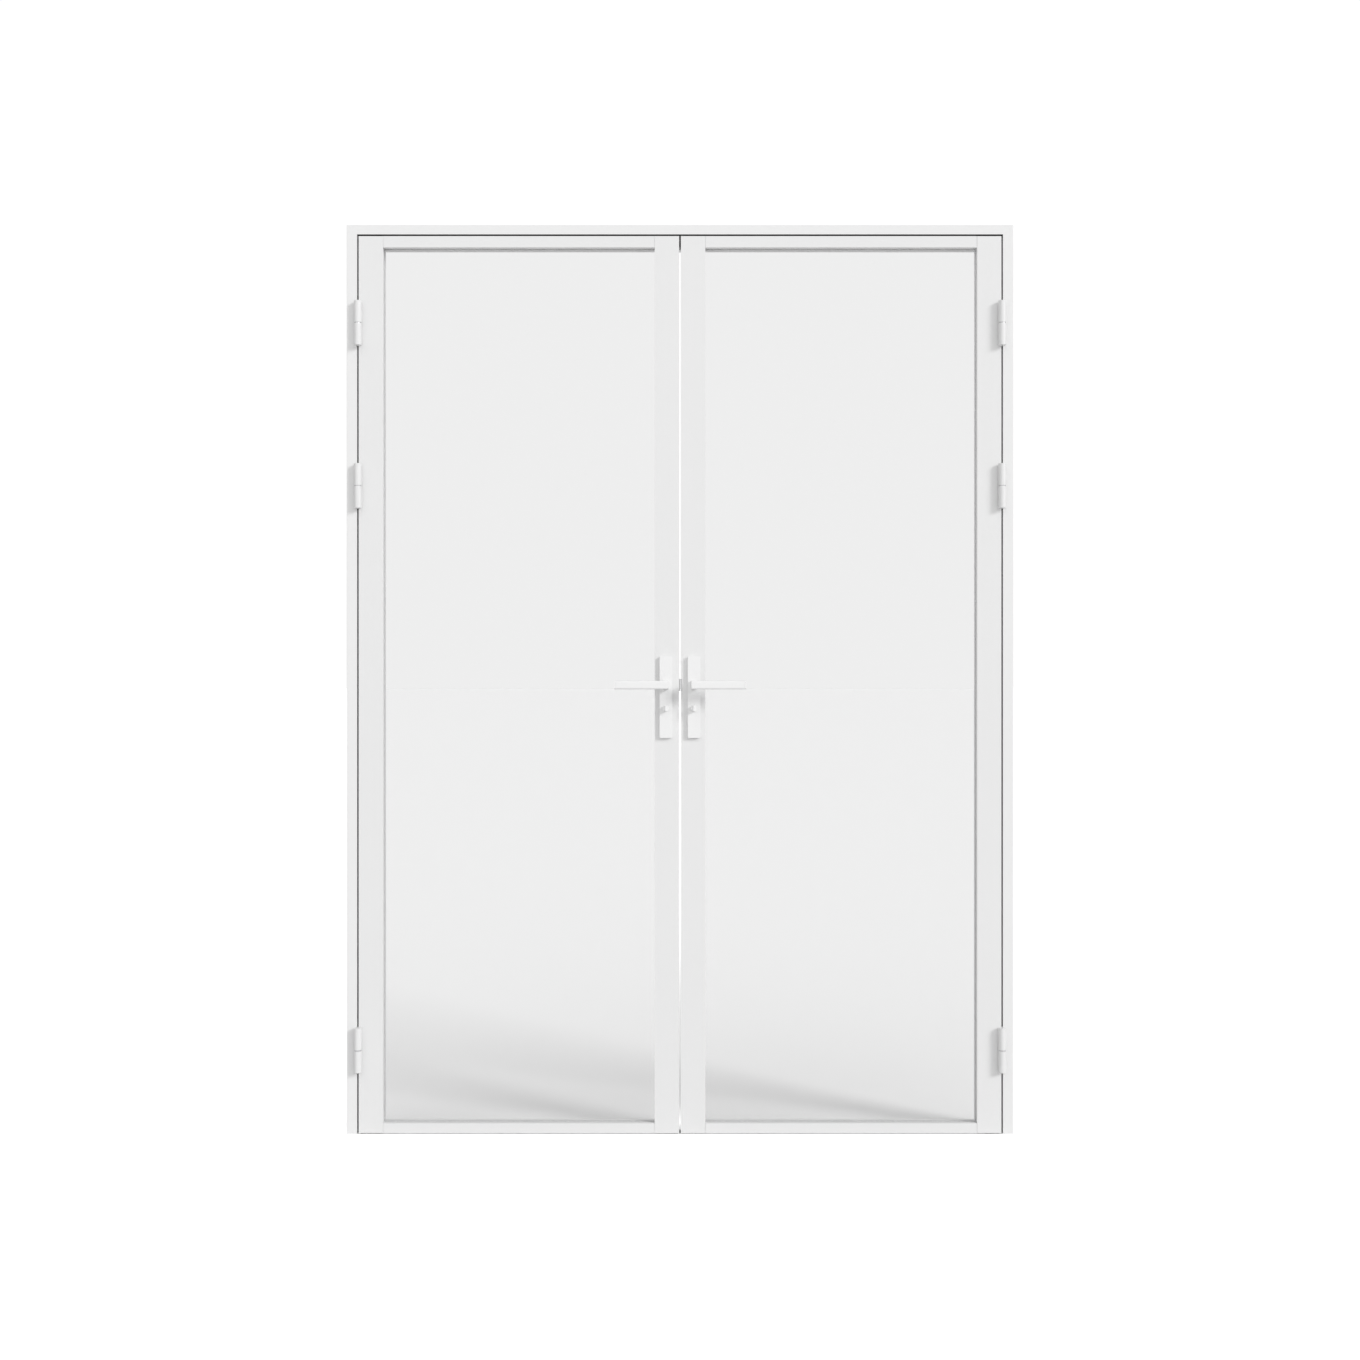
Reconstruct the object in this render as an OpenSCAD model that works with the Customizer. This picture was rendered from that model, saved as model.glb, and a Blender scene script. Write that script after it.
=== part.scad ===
// Double-leaf glazed door hung in its own three-sided frame.
// X runs left to right, Y from the front (the hinge side) to the back, Z up from the floor.
// The origin is on the floor, in the middle of the width and of a leaf's thickness.

/* [Frame] */
// Width of the frame over both jambs
frame_w = 1540; // [1200:10:2000]
// Height from the floor to the top of the frame
frame_h = 2100; // [1950:10:2400]
// Depth of the frame, front to back
frame_d = 70; // [64:1:110]
// Width of a jamb seen from the front
jamb_face = 23.8; // [18:0.1:40]
// Height of the head seen from the front
head_face = 21.5; // [18:0.5:40]
// How far the rebate's stop laps behind a leaf
stop_lap = 21; // [18:1:26]
// Wall of the frame extrusions
frame_wall = 2; // [1.6:0.1:2.4]
// Width and depth of the groove that holds the rebate seal
groove = 4; // [3.5:0.1:4.5]
// Thickness of the rubber strip under the head, above the leaves
strip_t = 1.5; // [1:0.1:2]
// Radius of the fixing holes through a jamb
fixing_r = 3.5; // [2.5:0.25:4.5]
// Height of the lowest fixing hole
fixing_low = 330; // [300:5:600]
// Space between one fixing hole and the next
fixing_pitch = 470; // [430:5:480]
// Number of fixing holes in a jamb
fixing_count = 4; // [2:1:4]

/* [Gaps] */
// Gap between a jamb and a leaf
side_gap = 3.6; // [3.6:0.1:6]
// Gap between the head and the leaves
top_gap = 4; // [3:0.5:8]
// Gap between the two leaves
centre_gap = 4; // [4:0.1:7]
// Gap between the floor and the leaves
floor_gap = 2; // [1:0.5:8]
// Space between a leaf's back and the stop
seal_gap = 3; // [2:0.5:5]
// Seam between a rail and a stile
seam = 0.3; // [0.1:0.1:0.6]
// Clearance of pieces that are put in by hand
slip = 0.2; // [0.1:0.05:0.4]
// Radial clearance of shafts in their holes
play = 0.05; // [0.03:0.01:0.08]

/* [Leaves] */
// Thickness of a leaf
leaf_t = 44; // [40:1:54]
// Width of a stile seen from the front
stile_w = 56.5; // [55:0.5:80]
// Height of the top rail seen from the front
top_rail_h = 26.5; // [24:0.5:90]
// Height of the bottom rail seen from the front
bottom_rail_h = 23; // [23:0.5:90]
// Wall of the leaf extrusions
leaf_wall = 2; // [1.6:0.1:2.4]
// Width of the rebate that holds the glass
rebate_w = 14; // [12:0.5:14]
// Length of a corner block inside a rail
corner_l = 60; // [40:5:90]

/* [Glazing] */
// Thickness of the glass
glass_t = 8; // [6:1:10]
// How far the glass reaches into its rebate
glass_cover = 10; // [8:0.5:11]
// Thickness of a glazing seal
seal_t = 2; // [1.5:0.5:3]
// Wall of a glazing bead
bead_wall = 1.4; // [1:0.1:2]
// Length of a setting block
setting_l = 100; // [60:5:140]

/* [Hinges] */
// Diameter of a hinge barrel
barrel_d = 18; // [16:0.5:20]
// Length of a hinge barrel
barrel_l = 103; // [90:1:120]
// Diameter of a hinge pin
pin_d = 10; // [8:0.5:11]
// Height of the bearing washer between a barrel's halves
washer_h = 2.5; // [1.5:0.5:4]
// Thickness of a hinge flap in the side gap
flap_t = 1.6; // [1.2:0.1:1.6]
// Depth of a hinge flap behind the door's face
flap_d = 30; // [20:1:34]
// Space between a barrel and the door's face
face_gap = 0.3; // [0.3:0.1:1]
// Height of the low hinge above the leaf's bottom
low_hinge = 193.5; // [150:0.5:260]
// Distance of the second hinge below the leaf's top
mid_hinge = 578; // [450:1:900]
// Distance of the high hinge below the leaf's top
high_hinge = 202.5; // [150:0.5:260]

/* [Handles] */
// Height of the lever's axis above the floor
lever_z = 1037.5; // [950:0.5:1100]
// Distance from a leaf's edge to the lever's axis
backset = 30.5; // [28.5:0.5:31.5]
// Length of a lever from its axis to its tip
lever_l = 118; // [100:1:140]
// Height of a lever's bar
lever_h = 19.5; // [16:0.5:22]
// Thickness of a lever's bar
lever_t = 11; // [9:0.5:14]
// Space between a leaf's face and a lever's bar
lever_reach = 45; // [38:1:60]
// Width of a lever's square neck
neck_w = 13; // [12.5:0.5:18]
// Diameter of the neck's journal in the plate
neck_d = 15; // [14.5:0.5:18]
// Width across the flats of the spindle
spindle_w = 7; // [6:0.5:8]
// Width of a handle plate
plate_w = 29; // [28:0.5:34]
// Thickness of a handle plate
plate_t = 9; // [7:0.5:12]
// Wall of a handle plate
plate_wall = 2.5; // [1.5:0.1:3]
// Corner radius of a handle plate
plate_r = 3; // [2:0.5:5]
// Reach of a handle plate above the lever's axis
plate_up = 66; // [60:1:80]
// Reach of a handle plate below the lever's axis
plate_down = 122; // [115:1:140]
// Radius of the screws that join the two plates
screw_r = 2.5; // [2:0.25:3]
// Distance of a plate screw from the plate's end
screw_end = 11; // [9:0.5:12]
// Drop from the lever's axis to the thumb turn's axis
turn_drop = 54; // [52:1:58]
// Diameter of a thumb turn's knob
knob_d = 14; // [12:0.5:18]
// Length of a thumb turn's knob
knob_l = 13; // [9:0.5:18]

/* [Locks] */
// Thickness of a lock case
case_t = 16; // [14:0.5:18]
// Wall of a lock case
case_wall = 1.2; // [1:0.1:1.5]
// Reach of a lock case above the lever's axis
case_up = 42; // [38:1:48]
// Reach of a lock case below the lever's axis
case_down = 98; // [94:1:102]
// Height of the faceplate and of the strike plate
face_h = 180; // [160:1:200]
// Width of the faceplate and of the strike plate
face_w = 20; // [18:0.5:24]
// Height of the spring latch
latch_h = 28; // [20:1:30]
// Thickness of the spring latch
latch_t = 12; // [8:0.5:12]
// How far the spring latch stands out at rest
latch_out = 2; // [1:0.1:2.2]
// Height of the dead bolt
bolt_h = 24; // [18:1:26]
// Thickness of the dead bolt
bolt_t = 10; // [8:0.5:11]
// Diameter of a cylinder's round part
cylinder_d = 17; // [16:0.5:17]
// Height of a cylinder from its top to its foot
cylinder_h = 33; // [30:0.5:34]
// Reach of a turn's cam from its axis
cam_reach = 13; // [10:0.5:14]
// Diameter of the rods that bolt the passive leaf
rod_d = 10; // [8:0.5:10]
// Distance from the passive leaf's edge to its rods
rod_set = 19; // [17.5:0.5:20.5]

/* [Hidden] */
$fn = 48;
eps = 1;

// Colours
white_coat = "whitesmoke";
steel = "silver";
clear_glass = [0.85, 0.92, 0.92, 0.4];
black_rubber = [0.12, 0.12, 0.12];
pale_rubber = "gainsboro";
grey_nylon = "darkgray";

// Planes through the thickness of a leaf
front_y = -leaf_t / 2;
back_y = leaf_t / 2;
nose_y = -glass_t / 2 - seal_t;
bead_y = glass_t / 2 + seal_t;
stop_y = back_y + seal_gap;
frame_back_y = front_y + frame_d;

// Outline of a leaf, of its bay behind the glazing rebate, and of the glass that shows
lock_edge = centre_gap / 2;
hinge_edge = frame_w / 2 - jamb_face - side_gap;
leaf_top = frame_h - head_face - top_gap;
leaf_h = leaf_top - floor_gap;
stile_box = stile_w - rebate_w;
bay_x = [lock_edge + stile_box, hinge_edge - stile_box];
bay_z = [floor_gap + bottom_rail_h - rebate_w, leaf_top - top_rail_h + rebate_w];
sight_x = [lock_edge + stile_w, hinge_edge - stile_w];
sight_z = [floor_gap + bottom_rail_h, leaf_top - top_rail_h];
edge_gap = rebate_w - glass_cover;

// Depths of the frame members towards the opening
jamb_depth = jamb_face + side_gap + stop_lap;
head_depth = head_face + top_gap + stop_lap;

// Hinges
barrel_r = barrel_d / 2;
hinge_x = hinge_edge;
hinge_y = front_y - face_gap - barrel_r;
hinge_z = [floor_gap + low_hinge, leaf_top - mid_hinge, leaf_top - high_hinge];
half_l = (barrel_l - washer_h) / 2;
barrel_cap = 3;
barrel_chamfer = 1;

// Handles and locks
axis_x = lock_edge + backset;
turn_z = lever_z - turn_drop;
neck_r = neck_d / 2;
bar_y = front_y - lever_reach;
plate_y = front_y - plate_t;
plate_h = plate_up + plate_down;
plate_z = lever_z + (plate_up - plate_down) / 2;
screw_z = [lever_z + plate_up - screw_end, lever_z - plate_down + screw_end];
screw_head_r = screw_r * 1.9;
screw_head_h = screw_head_r - screw_r;
stem_r = 4;
hub_r = 8;
socket_d = 20;
case_x = lock_edge + leaf_wall;
case_d = stile_box - 2 * leaf_wall - slip;
case_z = lever_z - case_down;
case_h = case_up + case_down;
face_z = lever_z + (case_up - case_down) / 2;
latch_travel = 3;
bolt_back = 0.3;
rear_gap = 0.5;
latch_l = latch_out + backset - hub_r - latch_travel - rear_gap;
lobe_w = 10;
cam_t = 10;
keyway = [1.6, 7, 14];
cylinder_r = cylinder_d / 2;
bolt_l = backset - cylinder_r - rear_gap - bolt_back;
cylinder_front = front_y + leaf_wall + slip;
cylinder_back = back_y + plate_t + 1;
lip_gap = 0.3;
strike_lip = 1;
lip_w = 2.5;
hole_room = 1;
knob_gap = 0.3;
grip_w = 4;
grip_h = 3;
cam_w = 6;
cam_room = 0.5;
neck_gap = 0.5;
rod_r = rod_d / 2;
rod_x = lock_edge + rod_set;
rod_back = 2;
rod_room = 3;
top_rod_end = lever_z + latch_h / 2 + rear_gap;
bottom_rod_end = turn_z - cam_reach - rod_room;
guide_h = 20;
strip_back = 1.5;
strip_w = 8;
keeper_t = 1.5;
keeper_r = rod_r + 1;
flange_r = keeper_r + 3;

module on_right() children();

module on_left() mirror([1, 0, 0]) children();

// A box given by its two corners
module block(low, high) translate(low) cube(high - low);

// Extrusions of the frame

// Section of a frame member: a box, and the stop that laps behind the leaf
module frame_section(face, gap) {
    end = face + gap + stop_lap;
    groove_u = face + gap + stop_lap / 2;
    inner = groove / 2 + frame_wall;
    difference() {
        polygon([
            [0, front_y], [face, front_y], [face, stop_y],
            [end, stop_y], [end, frame_back_y], [0, frame_back_y]]);
        polygon([
            [frame_wall, front_y + frame_wall], [face - frame_wall, front_y + frame_wall],
            [face - frame_wall, frame_back_y - frame_wall], [frame_wall, frame_back_y - frame_wall]]);
        polygon([
            [face, stop_y + frame_wall], [groove_u - inner, stop_y + frame_wall],
            [groove_u - inner, stop_y + groove + frame_wall], [groove_u + inner, stop_y + groove + frame_wall],
            [groove_u + inner, stop_y + frame_wall], [end - frame_wall, stop_y + frame_wall],
            [end - frame_wall, frame_back_y - frame_wall], [face, frame_back_y - frame_wall]]);
        translate([groove_u - groove / 2, stop_y - eps]) square([groove, groove + eps]);
    }
}

// A jamb, with its stop cut short under the head's stop
module jamb() {
    color(white_coat)
    difference() {
        translate([frame_w / 2, 0, 0]) mirror([1, 0, 0])
            linear_extrude(frame_h) frame_section(jamb_face, side_gap);
        block([frame_w / 2 - jamb_depth - eps, front_y - eps, frame_h - head_depth],
              [frame_w / 2 - jamb_face, frame_back_y + eps, frame_h + eps]);
        for (i = [0:fixing_count - 1])
            translate([frame_w / 2 - jamb_face - eps, front_y + frame_d / 2, fixing_low + i * fixing_pitch])
                rotate([0, 90, 0]) cylinder(r = fixing_r, h = jamb_face + 2 * eps);
    }
}

module frame_head() {
    length = frame_w - 2 * jamb_face;
    color(white_coat)
    difference() {
        translate([-length / 2, 0, frame_h]) rotate([0, 90, 0])
            linear_extrude(length) frame_section(head_face, top_gap);
        translate([rod_x, 0, frame_h - head_face - eps])
            cylinder(r = keeper_r + keeper_t, h = frame_wall + 2 * eps);
    }
}

// Blocks inside the head's ends, against the jambs
module frame_corner_blocks() {
    low = frame_h - head_face + frame_wall + slip;
    high = frame_h - frame_wall - slip;
    color(steel)
    for (s = [-1, 1])
        translate([s * (frame_w / 2 - jamb_face - corner_l / 2), front_y + frame_d / 2, (low + high) / 2])
            cube([corner_l, frame_d / 2, high - low], center = true);
}

// Section of the rebate seal's lip, which the leaf meets
module seal_lip() {
    polygon([[-groove, 0], [groove, 0], [groove / 2, lip_gap - seal_gap], [-groove / 2, lip_gap - seal_gap]]);
}

module seal_foot() {
    translate([-groove / 2 + slip / 2, -slip]) square([groove - slip, groove]);
}

module frame_seal() {
    seal_x = frame_w / 2 - jamb_face - side_gap - stop_lap / 2;
    seal_z = frame_h - head_face - top_gap - stop_lap / 2;
    head_l = frame_w - 2 * jamb_face;
    color(black_rubber)
    translate([0, stop_y, 0]) {
        for (s = [-1, 1]) translate([s * seal_x, 0, 0]) {
            linear_extrude(seal_z) seal_lip();
            linear_extrude(frame_h - head_depth) seal_foot();
        }
        translate([-seal_x - groove, 0, seal_z]) rotate([0, 90, 0])
            linear_extrude(2 * (seal_x + groove)) seal_lip();
        translate([-head_l / 2, 0, seal_z]) rotate([0, 90, 0]) linear_extrude(head_l) seal_foot();
    }
    color(black_rubber)
    block([-head_l / 2 + slip, front_y + strip_back, frame_h - head_face - strip_t],
          [head_l / 2 - slip, front_y + strip_back + strip_w, frame_h - head_face]);
}

module bolt_keeper() {
    color(steel)
    translate([rod_x, 0, frame_h - head_face])
    difference() {
        union() {
            translate([0, 0, -keeper_t]) cylinder(r = flange_r, h = keeper_t);
            cylinder(r = keeper_r + keeper_t, h = frame_wall + keeper_t);
        }
        translate([0, 0, -keeper_t - eps]) cylinder(r = keeper_r, h = frame_wall + 2 * (keeper_t + eps));
    }
}

// Hinges: the frame carries the low half of each barrel and its pin, the leaf the high half

// Half a barrel, from its open end at z = 0 to its closed, chamfered end
module half_barrel(bore_r) {
    rotate_extrude() polygon([
        [bore_r, 0], [barrel_r, 0], [barrel_r, half_l - barrel_chamfer],
        [barrel_r - barrel_chamfer, half_l], [0, half_l], [0, half_l - barrel_cap],
        [bore_r, half_l - barrel_cap]]);
}

// A flap in the side gap, from x0 to x1, with its neck up to the half barrel above z = 0
module flap(x0, x1) {
    block([x0, front_y - hinge_y, -barrel_l / 2], [x1, front_y + flap_d - hinge_y, barrel_l / 2]);
    block([x0, (pin_d / 2 + barrel_r) / 2, washer_h / 2], [x1, front_y - hinge_y + eps, barrel_l / 2]);
}

module hinge_leaf_halves() {
    x0 = hinge_edge - hinge_x;
    color(white_coat)
    for (z = hinge_z) translate([hinge_x, hinge_y, z]) {
        translate([0, 0, washer_h / 2]) half_barrel(pin_d / 2 + play);
        flap(x0, x0 + flap_t);
    }
}

module hinge_frame_halves() {
    x1 = hinge_edge + side_gap - hinge_x;
    color(white_coat)
    for (s = [0, 1], z = hinge_z) mirror([s, 0, 0]) translate([hinge_x, hinge_y, z]) mirror([0, 0, 1]) {
        translate([0, 0, washer_h / 2]) half_barrel(pin_d / 2);
        flap(x1 - flap_t, x1);
    }
}

module hinge_pins() {
    reach = washer_h / 2 + half_l - barrel_cap;
    color(steel)
    for (s = [-1, 1], z = hinge_z) translate([s * hinge_x, hinge_y, z - reach])
        cylinder(r = pin_d / 2, h = 2 * reach - slip);
}

module hinge_washers() {
    color(grey_nylon)
    for (s = [-1, 1], z = hinge_z) translate([s * hinge_x, hinge_y, z - washer_h / 2])
        difference() {
            cylinder(r = barrel_r - barrel_chamfer, h = washer_h);
            translate([0, 0, -eps]) cylinder(r = pin_d / 2, h = washer_h + 2 * eps);
        }
}

// Leaves, built for the right side and mirrored for the left

// Outline of a stile or rail, w wide: a box, and the nose that holds the glass from the front
function rebated(w, inset) = [
    [inset, front_y + inset], [w - inset, front_y + inset], [w - inset, nose_y - inset],
    [w - rebate_w - inset, nose_y - inset], [w - rebate_w - inset, back_y - inset],
    [inset, back_y - inset]];

module rebated_section(w) {
    difference() {
        polygon(rebated(w, 0));
        polygon(rebated(w, leaf_wall));
    }
}

module stile() linear_extrude(leaf_h) rebated_section(stile_w);

module hinge_stile() {
    color(white_coat)
    translate([hinge_edge, 0, floor_gap]) mirror([1, 0, 0]) stile();
}

// The round part and the foot of a cylinder, standing on z = 0 and grown by a clearance
module cylinder_shape(grow, h) {
    foot_r = lobe_w / 2 + grow;
    foot_y = -(cylinder_h - cylinder_r - lobe_w / 2);
    cylinder(r = cylinder_r + grow, h = h);
    translate([0, foot_y, 0]) cylinder(r = foot_r, h = h);
    translate([-foot_r, foot_y, 0]) cube([2 * foot_r, -foot_y, h]);
}

// A hole along Y through a leaf at the lever's axis distance, at height z
module cross_hole(r, z, from_y, to_y) {
    translate([axis_x, to_y, z]) rotate([90, 0, 0]) cylinder(r = r, h = to_y - from_y);
}

module lock_stile() {
    color(white_coat)
    difference() {
        translate([lock_edge, 0, floor_gap]) stile();
        block([lock_edge - eps, -face_w / 2 - slip, face_z - face_h / 2 - slip],
              [lock_edge + leaf_wall + eps / 2, face_w / 2 + slip, face_z + face_h / 2 + slip]);
        cross_hole(hub_r - hole_room, lever_z, front_y - eps, back_y + eps);
        cross_hole(stem_r + 2 * hole_room, turn_z, front_y - eps, 0);
        for (z = screw_z) cross_hole(screw_r + hole_room, z, front_y - eps, back_y + eps);
        translate([axis_x, back_y + eps, turn_z]) rotate([90, 0, 0])
            cylinder_shape(slip, leaf_wall + 2 * eps);
    }
}

// A rail h high from stile box to stile box, with its nose cut back to the stiles' faces
module rail(h) {
    difference() {
        translate([bay_x[0], 0, 0]) rotate([0, 90, 0])
            linear_extrude(bay_x[1] - bay_x[0]) rebated_section(h);
        block([bay_x[0] - eps, front_y - eps, -h - eps], [sight_x[0] + seam, nose_y + seam, eps]);
        block([sight_x[1] - seam, front_y - eps, -h - eps], [bay_x[1] + eps, nose_y + seam, eps]);
    }
}

module top_rail() color(white_coat) translate([0, 0, leaf_top]) rail(top_rail_h);

module bottom_rail() color(white_coat) translate([0, 0, floor_gap]) mirror([0, 0, 1]) rail(bottom_rail_h);

// Blocks inside the rails' ends, against the stiles
module corner_blocks() {
    inset = leaf_wall + slip;
    color(steel)
    for (x = [bay_x[0], bay_x[1] - corner_l], z = [[floor_gap, bay_z[0]], [bay_z[1], leaf_top]])
        block([x, nose_y + seam, z[0] + inset], [x + corner_l, back_y - inset, z[1] - inset]);
}

module glass() {
    color(clear_glass)
    block([bay_x[0] + edge_gap, -glass_t / 2, bay_z[0] + edge_gap],
          [bay_x[1] - edge_gap, glass_t / 2, bay_z[1] - edge_gap]);
}

// A ring of seal round the pane, from y0 to y1
module glazing_seal(y0, y1) {
    color(pale_rubber)
    difference() {
        block([bay_x[0] + edge_gap, y0, bay_z[0] + edge_gap],
              [bay_x[1] - edge_gap, y1, bay_z[1] - edge_gap]);
        block([sight_x[0], y0 - eps, sight_z[0]], [sight_x[1], y1 + eps, sight_z[1]]);
    }
}

module front_seal() glazing_seal(nose_y, -glass_t / 2);

module back_seal() glazing_seal(glass_t / 2, bead_y);

module bead_section() {
    difference() {
        translate([0, bead_y]) square([rebate_w, back_y - bead_y]);
        translate([bead_wall, bead_y + bead_wall])
            square([rebate_w - 2 * bead_wall, back_y - bead_y - 2 * bead_wall]);
    }
}

module side_beads() {
    color(white_coat)
    for (x = [bay_x[0], sight_x[1]]) translate([x, 0, sight_z[0] + seam])
        linear_extrude(sight_z[1] - sight_z[0] - 2 * seam) bead_section();
}

module rail_beads() {
    color(white_coat)
    for (z = [sight_z[0], bay_z[1]]) translate([bay_x[0], 0, z]) rotate([0, 90, 0])
        linear_extrude(bay_x[1] - bay_x[0]) bead_section();
}

module setting_blocks() {
    width = bay_x[1] - bay_x[0];
    color(black_rubber)
    for (x = [bay_x[0] + width / 5, bay_x[1] - width / 5])
        block([x - setting_l / 2, nose_y, bay_z[0]], [x + setting_l / 2, bead_y, bay_z[0] + edge_gap]);
}

// Locks

// Openings in the edge of a lock case and of its faceplate, for the latch and the dead bolt
module bolt_openings(from_x, to_x) {
    block([from_x, -latch_t / 2 - slip, lever_z - latch_h / 2 - slip],
          [to_x, latch_t / 2 + slip, lever_z + latch_h / 2 + slip]);
    block([from_x, -bolt_t / 2 - slip, turn_z - bolt_h / 2 - slip],
          [to_x, bolt_t / 2 + slip, turn_z + bolt_h / 2 + slip]);
}

module lock_case(with_rods) {
    color(steel)
    difference() {
        block([case_x, -case_t / 2, case_z], [case_x + case_d, case_t / 2, case_z + case_h]);
        block([case_x + case_wall, -case_t / 2 + case_wall, case_z + case_wall],
              [case_x + case_d - case_wall, case_t / 2 - case_wall, case_z + case_h - case_wall]);
        bolt_openings(case_x - eps, case_x + case_wall + eps / 2);
        cross_hole(hub_r + play, lever_z, -case_t, case_t);
        translate([axis_x, case_t, turn_z]) rotate([90, 0, 0]) cylinder_shape(slip, 2 * case_t);
        if (with_rods) translate([rod_x, 0, case_z - eps])
            cylinder(r = rod_r + play, h = case_h + 2 * eps);
    }
}

module face_plate() {
    block([lock_edge, -face_w / 2, face_z - face_h / 2],
          [lock_edge + leaf_wall, face_w / 2, face_z + face_h / 2]);
}

module faceplate() {
    color(steel)
    difference() {
        face_plate();
        bolt_openings(lock_edge - eps, case_x + eps);
    }
}

// The strike plate, with a lip that wraps round the leaf's front edge beside the latch
module strike_plate() {
    lip_x = lock_edge - strike_lip;
    lip_z = [lever_z - latch_h / 2, lever_z + latch_h / 2];
    color(steel) {
        difference() {
            face_plate();
            bolt_openings(lock_edge - eps, case_x + eps);
        }
        block([lip_x, front_y - strike_lip, lip_z[0]], [lock_edge, -latch_t / 2 - slip, lip_z[1]]);
        block([lip_x, front_y - strike_lip, lip_z[0]], [lock_edge + lip_w, front_y, lip_z[1]]);
    }
}

module latch() {
    tip = lock_edge - latch_out;
    color(steel)
    translate([0, 0, lever_z - latch_h / 2]) linear_extrude(latch_h) polygon([
        [tip, -latch_t / 2], [tip + latch_l, -latch_t / 2], [tip + latch_l, latch_t / 2],
        [tip + latch_out, latch_t / 2], [tip, latch_t / 6]]);
}

module dead_bolt() {
    color(steel)
    block([lock_edge + bolt_back, -bolt_t / 2, turn_z - bolt_h / 2],
          [lock_edge + bolt_back + bolt_l, bolt_t / 2, turn_z + bolt_h / 2]);
}

module lock_cylinder() {
    color(steel)
    difference() {
        translate([axis_x, cylinder_back, turn_z]) rotate([90, 0, 0])
            cylinder_shape(0, cylinder_back - cylinder_front);
        block([axis_x - cylinder_d, -cam_t / 2 - bolt_back, turn_z - cam_reach - cam_room],
              [axis_x + cylinder_d, cam_t / 2 + bolt_back, turn_z + cylinder_d]);
        cross_hole(stem_r + play, turn_z, cylinder_front - eps, 0);
        block([axis_x - keyway[0] / 2, cylinder_back - keyway[2], turn_z - keyway[1] / 2],
              [axis_x + keyway[0] / 2, cylinder_back + eps, turn_z + keyway[1] / 2]);
    }
}

// The thumb turn: knob with a grip across it, stem, and the cam that drives the bolt
module thumb_turn() {
    knob_y = plate_y - knob_gap;
    color(white_coat) {
        cross_hole(stem_r, turn_z, knob_y, cam_t / 2);
        cross_hole(knob_d / 2, turn_z, knob_y - knob_l, knob_y);
        block([axis_x - grip_w / 2, knob_y - knob_l - grip_h, turn_z - knob_d / 2 + 1],
              [axis_x + grip_w / 2, knob_y - knob_l, turn_z + knob_d / 2 - 1]);
        cross_hole(hub_r, turn_z, -cam_t / 2, cam_t / 2);
        block([axis_x - cam_w / 2, -cam_t / 2, turn_z - cam_reach], [axis_x + cam_w / 2, cam_t / 2, turn_z]);
    }
}

module top_rod() {
    color(steel)
    translate([rod_x, 0, top_rod_end]) cylinder(r = rod_r, h = leaf_top - rod_back - top_rod_end);
}

module bottom_rod() {
    color(steel)
    translate([rod_x, 0, floor_gap + rod_back])
        cylinder(r = rod_r, h = bottom_rod_end - floor_gap - rod_back);
}

// Guides for the rods, at both ends of the lock stile
module bolt_guides() {
    color(grey_nylon)
    for (z = [floor_gap, leaf_top - guide_h]) difference() {
        block([case_x, front_y + leaf_wall, z], [case_x + case_d, back_y - leaf_wall, z + guide_h]);
        translate([rod_x, 0, z - eps]) cylinder(r = rod_r + play, h = guide_h + 2 * eps);
    }
}

// Handles, built in front and mirrored for the back

// A slab with rounded corners, centred on the axes and standing on z = 0
module rounded_slab(w, h, t, r) {
    translate([-w / 2, -h / 2 + r, 0]) cube([w, h - 2 * r, t]);
    translate([-w / 2 + r, -h / 2, 0]) cube([w - 2 * r, h, t]);
    for (x = [-1, 1], y = [-1, 1]) translate([x * (w / 2 - r), y * (h / 2 - r), 0]) cylinder(r = r, h = t);
}

// A handle plate without its holes: a shell with posts for the lever and the screws
module plate_shell() {
    translate([axis_x, front_y, plate_z]) rotate([90, 0, 0]) difference() {
        rounded_slab(plate_w, plate_h, plate_t, plate_r);
        translate([0, 0, -eps])
            rounded_slab(plate_w - 2 * plate_wall, plate_h - 2 * plate_wall,
                         plate_t - plate_wall + eps, plate_r / 2);
    }
    cross_hole(neck_r + plate_wall, lever_z, plate_y + plate_wall / 2, front_y);
    cross_hole(stem_r + plate_wall, turn_z, plate_y + plate_wall / 2, front_y);
    for (z = screw_z) cross_hole(screw_r + plate_wall, z, plate_y + plate_wall / 2, front_y);
}

module front_plate() {
    color(white_coat)
    difference() {
        plate_shell();
        cross_hole(neck_r + play, lever_z, plate_y - eps, front_y + eps);
        cross_hole(stem_r + play, turn_z, plate_y - eps, front_y + eps);
        for (z = screw_z) cross_hole(screw_r, z, plate_y + plate_wall, front_y + eps);
    }
}

// A plate screw's solid: countersunk head at the back plate, shank into the front plate's post
module plate_screw(z) {
    head_y = back_y + plate_t;
    cross_hole(screw_r, z, plate_y + plate_wall, head_y - screw_head_h / 2);
    translate([axis_x, head_y, z]) rotate([90, 0, 0])
        cylinder(r1 = screw_head_r, r2 = screw_r, h = screw_head_h);
}

module back_plate() {
    color(white_coat)
    difference() {
        mirror([0, 1, 0]) plate_shell();
        cross_hole(neck_r + play, lever_z, back_y - eps, -plate_y + eps);
        translate([axis_x, -plate_y + eps, turn_z]) rotate([90, 0, 0])
            cylinder_shape(slip, plate_t + 2 * eps);
        for (z = screw_z) plate_screw(z);
    }
}

module plate_screws() color(steel) for (z = screw_z) plate_screw(z);

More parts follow.
